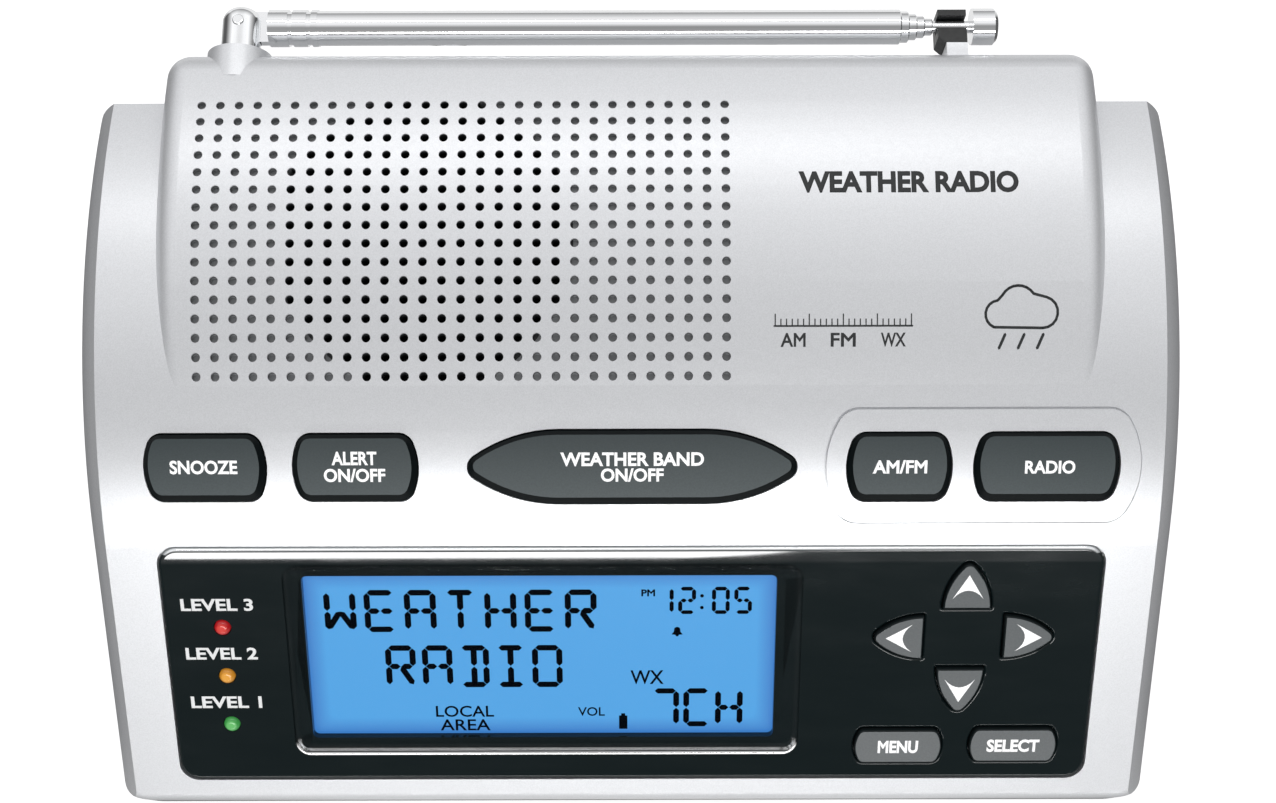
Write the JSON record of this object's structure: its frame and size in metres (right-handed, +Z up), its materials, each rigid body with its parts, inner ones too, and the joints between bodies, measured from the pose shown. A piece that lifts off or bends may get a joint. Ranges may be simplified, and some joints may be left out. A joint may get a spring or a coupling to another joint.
{
  "type": "emergency radio",
  "caption": "Desktop emergency radio with a sloping front, grille hump, back-lit display, key row, arrow keys, rear jacks and a folding telescopic antenna.",
  "frame": {"origin": "under the middle of the radio's overall box, on the surface that its feet stand on", "axes": "+X to the listener's right, +Y to the rear (the antenna side), +Z up"},
  "size_m": [0.1906, 0.1344, 0.0635],
  "materials": {
    "silver_cabinet": "satin silver paint on moulded plastic",
    "grey_cabinet": "fine spark-eroded grey plastic",
    "black_panel": "polished black",
    "lens": "clear polished acrylic",
    "lcd": "back-lit liquid crystal display",
    "backlight": "white light guide",
    "board": "green solder resist",
    "chips": "black moulded chips",
    "capacitors": "sleeved aluminium cans",
    "tin": "tinned sheet steel",
    "rubber": "black rubber",
    "mat_rubber": "translucent grey silicone rubber",
    "key": "slate grey satin keys",
    "small_key": "mid-grey satin keys",
    "led_red": "tinted lamp",
    "led_amber": "tinted lamp",
    "led_green": "tinted lamp",
    "basket": "black painted pressing",
    "magnet": "ferrite",
    "cone": "black paper cone",
    "screws": "zinc plated",
    "chrome": "polished chrome plate",
    "clip": "black clip",
    "cell": "sleeved steel cell",
    "contact": "nickel plated spring brass",
    "jack": "black connector body"
  },
  "bodies": {
    "cabinet": {"alert_jack": "jack", "antenna_clip": "clip", "antenna_jack": "chrome", "battery_cells": "cell", "battery_contacts": "contact", "battery_springs": "contact", "board_chips": "chips", "board_screws": "screws", "bottom_housing": "grey_cabinet", "capacitors": "capacitors", "case_screws": "screws", "control_panel": "black_panel", "dc_jack": "jack", "display_board": "board", "display_lens": "lens", "earphone_jack": "jack", "key_board": "board", "lcd_backlight": "backlight", "lcd_glass": "lcd", "led_amber": "led_amber", "led_green": "led_green", "led_red": "led_red", "main_board": "board", "panel_mat": "mat_rubber", "row_mat": "mat_rubber", "rubber_feet": "rubber", "speaker_basket": "basket", "speaker_cone": "cone", "speaker_magnet": "magnet", "speaker_screws": "screws", "switch_body": "jack", "top_housing": "silver_cabinet", "tuner_shield": "tin", "volume_control": "jack"},
    "snooze_key": {"snooze_key": "key"},
    "alert_key": {"alert_key": "key"},
    "weather_key": {"weather_key": "key"},
    "band_key": {"band_key": "key"},
    "radio_key": {"radio_key": "key"},
    "up_key": {"up_key": "small_key"},
    "down_key": {"down_key": "small_key"},
    "left_key": {"left_key": "small_key"},
    "right_key": {"right_key": "small_key"},
    "menu_key": {"menu_key": "small_key"},
    "select_key": {"select_key": "small_key"},
    "volume_wheel": {"volume_wheel": "clip"},
    "switch_knob": {"switch_knob": "clip"},
    "battery_door": {"battery_door": "grey_cabinet"},
    "antenna_knuckle": {"antenna_knuckle": "chrome", "antenna_pin": "chrome", "antenna_screw": "screws"},
    "antenna_tube_1": {"antenna_blade": "chrome", "antenna_tube_1": "chrome"},
    "antenna_tube_2": {"antenna_tube_2": "chrome"},
    "antenna_tube_3": {"antenna_tube_3": "chrome"},
    "antenna_tube_4": {"antenna_tube_4": "chrome"},
    "antenna_tube_5": {"antenna_tube_5": "chrome"},
    "antenna_tip": {"antenna_tip": "chrome"}
  },
  "joints": [
    {"name": "snooze_key_press", "type": "slide", "parent": "cabinet", "child": "snooze_key", "axis": [0, 0.4535, -0.8912], "range_m": [0, 0.0008], "stiffness_N_per_m": 600, "springref_m": -0.0008, "deforming": ["row_mat"]},
    {"name": "alert_key_press", "type": "slide", "parent": "cabinet", "child": "alert_key", "axis": [0, 0.4535, -0.8912], "range_m": [0, 0.0008], "stiffness_N_per_m": 600, "springref_m": -0.0008},
    {"name": "weather_key_press", "type": "slide", "parent": "cabinet", "child": "weather_key", "axis": [0, 0.4535, -0.8912], "range_m": [0, 0.0008], "stiffness_N_per_m": 600, "springref_m": -0.0008},
    {"name": "band_key_press", "type": "slide", "parent": "cabinet", "child": "band_key", "axis": [0, 0.4535, -0.8912], "range_m": [0, 0.0008], "stiffness_N_per_m": 600, "springref_m": -0.0008},
    {"name": "radio_key_press", "type": "slide", "parent": "cabinet", "child": "radio_key", "axis": [0, 0.4535, -0.8912], "range_m": [0, 0.0008], "stiffness_N_per_m": 600, "springref_m": -0.0008},
    {"name": "up_key_press", "type": "slide", "parent": "cabinet", "child": "up_key", "axis": [0, 0.5878, -0.809], "range_m": [0, 0.0006], "stiffness_N_per_m": 600, "springref_m": -0.0008, "deforming": ["panel_mat"]},
    {"name": "down_key_press", "type": "slide", "parent": "cabinet", "child": "down_key", "axis": [0, 0.5878, -0.809], "range_m": [0, 0.0006], "stiffness_N_per_m": 600, "springref_m": -0.0008},
    {"name": "left_key_press", "type": "slide", "parent": "cabinet", "child": "left_key", "axis": [0, 0.5878, -0.809], "range_m": [0, 0.0006], "stiffness_N_per_m": 600, "springref_m": -0.0008},
    {"name": "right_key_press", "type": "slide", "parent": "cabinet", "child": "right_key", "axis": [0, 0.5878, -0.809], "range_m": [0, 0.0006], "stiffness_N_per_m": 600, "springref_m": -0.0008},
    {"name": "menu_key_press", "type": "slide", "parent": "cabinet", "child": "menu_key", "axis": [0, 0.5878, -0.809], "range_m": [0, 0.0006], "stiffness_N_per_m": 600, "springref_m": -0.0008},
    {"name": "select_key_press", "type": "slide", "parent": "cabinet", "child": "select_key", "axis": [0, 0.5878, -0.809], "range_m": [0, 0.0006], "stiffness_N_per_m": 600, "springref_m": -0.0008},
    {"name": "volume_turn", "type": "hinge", "parent": "cabinet", "child": "volume_wheel", "pos_m": [0.054, 0.049, 0.015], "axis": [0, 0, 1], "range_deg": [-140, 140]},
    {"name": "power_switch_slide", "type": "slide", "parent": "cabinet", "child": "switch_knob", "axis": [1, 0, 0], "range_m": [0, 0.004]},
    {"name": "battery_door_hinge", "type": "hinge", "parent": "cabinet", "child": "battery_door", "pos_m": [0, 0.0291, 0.0029], "axis": [1, 0, 0], "range_deg": [0, 85]},
    {"name": "antenna_swivel", "type": "hinge", "parent": "cabinet", "child": "antenna_knuckle", "pos_m": [-0.0684, 0.0637, 0.0571], "axis": [0, -1, 0], "range_deg": [0, 180], "deforming": ["antenna_clip"]},
    {"name": "antenna_tilt", "type": "hinge", "parent": "antenna_knuckle", "child": "antenna_tube_1", "pos_m": [-0.0684, 0.0637, 0.0571], "axis": [0, 0, 1], "range_deg": [0, 90]},
    {"name": "antenna_tube_2_slide", "type": "slide", "parent": "antenna_tube_1", "child": "antenna_tube_2", "axis": [1, 0, 0], "range_m": [0, 0.092]},
    {"name": "antenna_tube_3_slide", "type": "slide", "parent": "antenna_tube_2", "child": "antenna_tube_3", "axis": [1, 0, 0], "range_m": [0, 0.092]},
    {"name": "antenna_tube_4_slide", "type": "slide", "parent": "antenna_tube_3", "child": "antenna_tube_4", "axis": [1, 0, 0], "range_m": [0, 0.092]},
    {"name": "antenna_tube_5_slide", "type": "slide", "parent": "antenna_tube_4", "child": "antenna_tube_5", "axis": [1, 0, 0], "range_m": [0, 0.092]},
    {"name": "antenna_tip_slide", "type": "slide", "parent": "antenna_tube_5", "child": "antenna_tip", "axis": [1, 0, 0], "range_m": [0, 0.092]}
  ]
}
